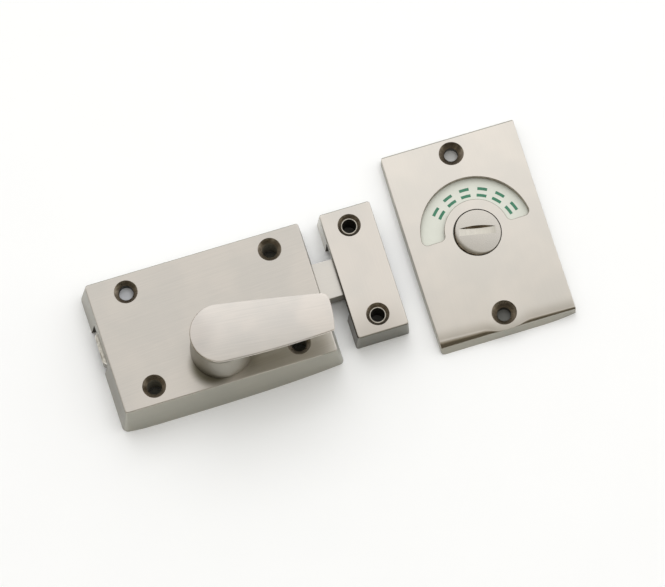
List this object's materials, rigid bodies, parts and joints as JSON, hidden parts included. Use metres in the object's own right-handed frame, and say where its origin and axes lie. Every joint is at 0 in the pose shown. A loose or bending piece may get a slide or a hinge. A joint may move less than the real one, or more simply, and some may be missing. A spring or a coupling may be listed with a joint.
{
  "type": "toilet indicator bolt",
  "caption": "Toilet door indicator bolt: rim bolt case with lever turn and sliding bolt, bridge keep, and crowned indicator plate with half-ring window and coin-slot release.",
  "frame": {"origin": "middle of the case's back face, at the centre of its four screw holes", "axes": "+X the way the bolt is thrown, from the case to the keep and the indicator plate; +Z away from the door"},
  "size_m": [0.1542, 0.069, 0.0335],
  "materials": {
    "satin_nickel": "satin nickel plate on brass, brushed",
    "bare_brass": "machined",
    "zinc_steel": "zinc plated",
    "spring_steel": "blued",
    "fibre": "matt",
    "printed_disc": "printed, half with green marks and half with red"
  },
  "bodies": {
    "fixed_set": {"bolt_case": "satin_nickel", "case_back_plate": "zinc_steel", "back_plate_screws": "zinc_steel", "turn_bush": "bare_brass", "hub_washer": "fibre", "bolt_spring": "spring_steel", "keep": "satin_nickel", "indicator_plate": "satin_nickel", "release_spring": "spring_steel", "indicator_back_cover": "zinc_steel", "cover_screws": "zinc_steel", "disc_stop_pin": "zinc_steel"},
    "turn_body": {"turn_follower": "bare_brass", "turn_hub": "satin_nickel", "turn_lever": "satin_nickel", "hub_set_screw": "zinc_steel"},
    "bolt_body": {"slide_bolt": "satin_nickel"},
    "release_body": {"release_knob": "satin_nickel", "indicator_disc": "printed_disc", "disc_collar": "bare_brass"}
  },
  "joints": [
    {"name": "turn", "type": "hinge", "parent": "fixed_set", "child": "turn_body", "pos_m": [0, -0.0107, 0.0135], "axis": [0, 0, 1], "range_deg": [0, 180]},
    {"name": "bolt_slide", "type": "slide", "parent": "fixed_set", "child": "bolt_body", "axis": [1, 0, 0], "range_m": [-0.01728, 0]},
    {"name": "release", "type": "hinge", "parent": "fixed_set", "child": "release_body", "pos_m": [0.09295, 0.0043, 0.003], "axis": [0, 0, 1], "range_deg": [0, 180]}
  ],
  "couplings": [
    {"joint": "bolt_slide", "follows": "turn", "m_per_rad": -0.0055}
  ]
}
